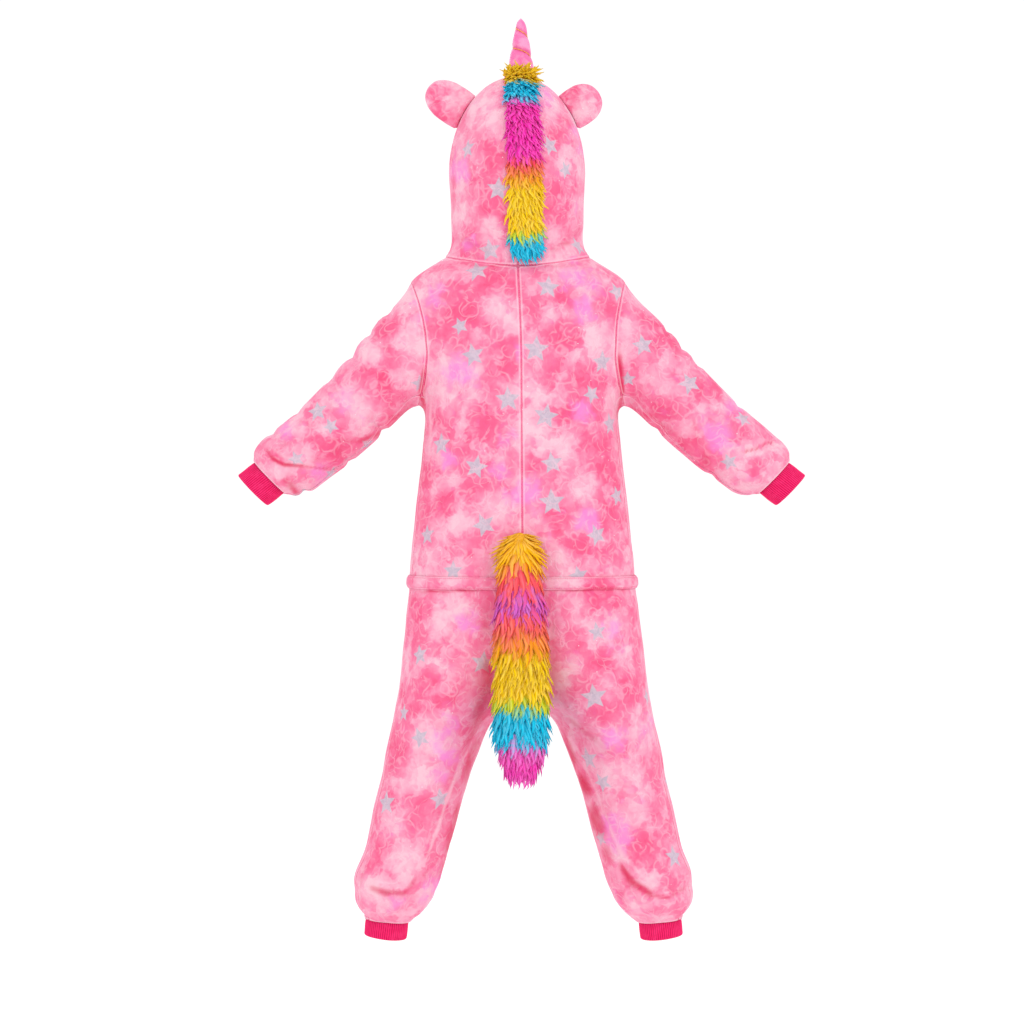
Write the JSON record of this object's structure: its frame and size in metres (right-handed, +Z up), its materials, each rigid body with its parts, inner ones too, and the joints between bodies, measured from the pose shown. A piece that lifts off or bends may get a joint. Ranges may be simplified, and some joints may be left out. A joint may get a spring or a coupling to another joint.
{
  "type": "kigurumi onesie",
  "caption": "Child's unicorn kigurumi onesie: hooded plush one-piece with round ears, spiral horn, rainbow fur mane and tail, ribbed cuffs and a buttoned front, held open as worn.",
  "frame": {"origin": "between the wearer's shoulders, level with the neck seam at the back, on the body's mid-plane", "axes": "+Z up to the hood, +Y to the back, +X to the wearer's left; the front faces -Y"},
  "size_m": [0.7927, 0.2892, 1.2978],
  "materials": {
    "flannel": "pink tie-dye plush flannel with grey-lilac stars",
    "ear_flannel": "pink tie-dye plush flannel, stuffed",
    "rib": "hot pink ribbed knit",
    "satin": "pink satin, stuffed, wound with orange-gold thread",
    "mane_fur": "long-pile fur in bands of yellow, cyan, magenta, orange and yellow-green",
    "tail_fur": "long-pile fur in bands of orange, purple, yellow, cyan and magenta",
    "button": "hot pink four-hole buttons"
  },
  "bodies": {
    "root": {"back_left": "flannel", "front_left": "flannel", "sleeve_left": "flannel", "leg_back_left": "flannel", "leg_front_left": "flannel", "hood_left": "flannel", "sleeve_cuff_left": "rib", "ankle_cuff_left": "rib", "ear_left": "ear_flannel", "back_right": "flannel", "front_right": "flannel", "sleeve_right": "flannel", "leg_back_right": "flannel", "leg_front_right": "flannel", "hood_right": "flannel", "sleeve_cuff_right": "rib", "ankle_cuff_right": "rib", "ear_right": "ear_flannel", "waistband_back": "flannel", "waistband_front": "flannel", "placket": "flannel", "mane": "mane_fur", "tail": "tail_fur", "horn": "satin", "button_1": "button", "button_2": "button", "button_3": "button", "button_4": "button", "button_5": "button"}
  },
  "joints": []
}
